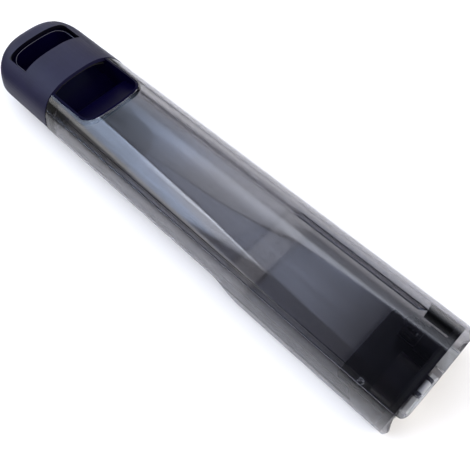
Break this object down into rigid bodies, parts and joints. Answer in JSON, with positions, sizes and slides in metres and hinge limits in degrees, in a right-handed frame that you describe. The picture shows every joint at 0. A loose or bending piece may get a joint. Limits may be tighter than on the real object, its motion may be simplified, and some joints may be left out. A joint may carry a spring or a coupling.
{
  "type": "clean water tank",
  "caption": "Long smoked clear water tank with a dark carrying cap, a finger grip, a foot with a hinged fill lid and a sprung outlet valve.",
  "frame": {"origin": "middle of the length and width, on the surface that the tank lies on", "axes": "+X along the tank from the cap to the foot, +Y across it, +Z from the rear face up to the arched front"},
  "size_m": [0.4434, 0.09, 0.0522],
  "materials": {
    "clear_shell": "polished, smoked transparent",
    "cap": "fine satin",
    "liner": "glossy",
    "dark_part": "smooth",
    "white_part": "smooth",
    "gasket": "soft matte",
    "pale_seal": "soft matte",
    "screw": "bright",
    "spring": "bright wire"
  },
  "bodies": {
    "tank": {"front_shell": "clear_shell", "rear_shell": "clear_shell", "handle_cap": "cap", "grip_liner": "liner", "bridge_plate": "dark_part", "bridge_screws": "screw", "top_gasket": "gasket", "cap_screws": "screw", "vent_valve": "pale_seal", "base_plug": "dark_part", "base_gasket": "gasket", "base_screws": "screw", "lid_pin": "screw", "valve_body": "white_part", "valve_oring": "gasket", "valve_spring": "spring", "spring_retainer": "dark_part", "inlet_strainer": "dark_part"},
    "lid": {"fill_lid": "white_part", "lid_gasket": "pale_seal"},
    "poppet": {"valve_poppet": "white_part", "poppet_seal": "gasket"}
  },
  "joints": [
    {"name": "fill_lid_hinge", "type": "hinge", "parent": "tank", "child": "lid", "pos_m": [0.2179, -0.017, 0.0438], "axis": [0, -1, 0], "range_deg": [0, 95]},
    {"name": "outlet_valve_slide", "type": "slide", "parent": "tank", "child": "poppet", "axis": [-1, 0, 0], "range_m": [0, 0.004], "stiffness_N_per_m": 300, "springref_m": -0.003, "deforming": ["valve_spring"]}
  ]
}
